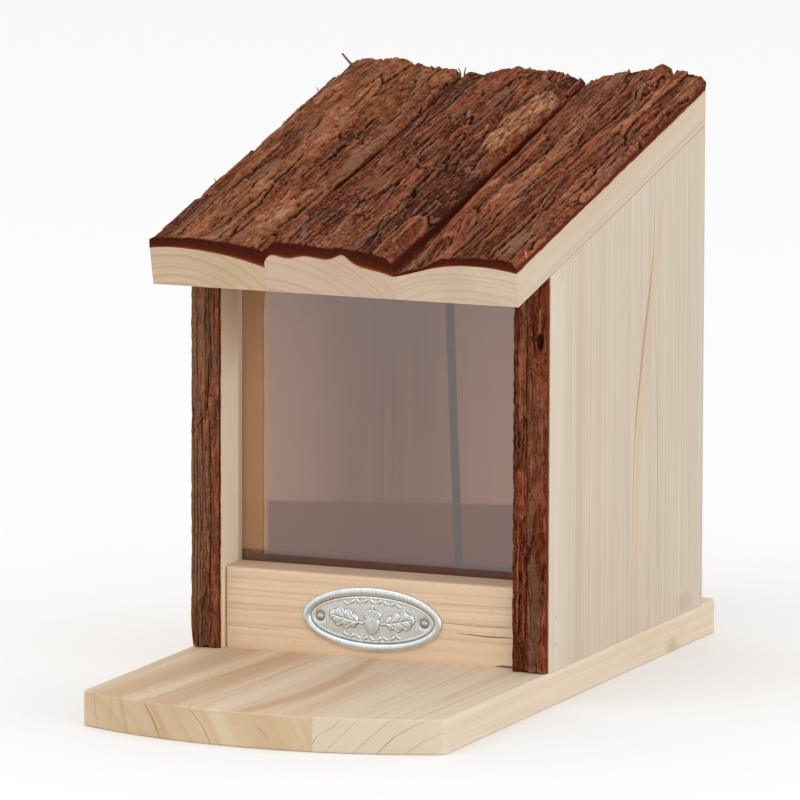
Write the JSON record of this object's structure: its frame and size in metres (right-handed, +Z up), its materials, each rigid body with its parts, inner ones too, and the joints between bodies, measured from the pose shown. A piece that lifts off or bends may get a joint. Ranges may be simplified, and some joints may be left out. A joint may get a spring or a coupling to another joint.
{
  "type": "squirrel feeder",
  "caption": "Timber nut hopper with a clear front pane on a bow-fronted base; its bark-covered plank roof hinges up from the back.",
  "frame": {"origin": "on the ground under the middle of the feeder's outline", "axes": "+Z up, +Y to the back of the feeder along its longest extent, +X to the right seen from the front"},
  "size_m": [0.1684, 0.3314, 0.2543],
  "materials": {
    "pine": "sanded and untreated, straight grain",
    "warm_pine": "sanded and untreated, warmer board with fine cross grain",
    "bark": "natural flaky bark, matte",
    "tinted_sheet": "glossy smoke-brown acrylic sheet",
    "zinc_plate": "pressed zinc sheet, lightly weathered",
    "zinc_hardware": "zinc-plated pressed steel",
    "steel_fixings": "bright zinc-plated steel"
  },
  "bodies": {
    "root": {"base_plank_wide": "pine", "base_plank_narrow": "pine", "base_screws": "steel_fixings", "back_panel": "pine", "front_board": "warm_pine", "front_brads": "steel_fixings", "window_pane": "tinted_sheet", "emblem_plate": "zinc_plate", "emblem_pins": "steel_fixings", "hinge_base_screws": "steel_fixings", "hanger_plate": "zinc_hardware", "hanger_screws": "steel_fixings", "post_left": "pine", "post_right": "pine", "post_bark_left": "bark", "post_bark_right": "bark", "side_panel_left": "pine", "side_panel_right": "pine", "hinge_base_leaf_left": "zinc_hardware", "hinge_base_leaf_right": "zinc_hardware", "hinge_pin_left": "steel_fixings", "hinge_pin_right": "steel_fixings"},
    "roof": {"hinge_roof_screws": "steel_fixings", "hinge_roof_leaf_left": "zinc_hardware", "hinge_roof_leaf_right": "zinc_hardware", "roof_plank_left": "pine", "roof_plank_middle": "pine", "roof_plank_right": "pine", "roof_bark_left": "bark", "roof_bark_middle": "bark", "roof_bark_right": "bark"}
  },
  "joints": [
    {"name": "roof_hinge", "type": "hinge", "parent": "root", "child": "roof", "pos_m": [0.0012, 0.15025, 0.22802], "axis": [-1, 0, 0], "range_deg": [0, 100]}
  ]
}
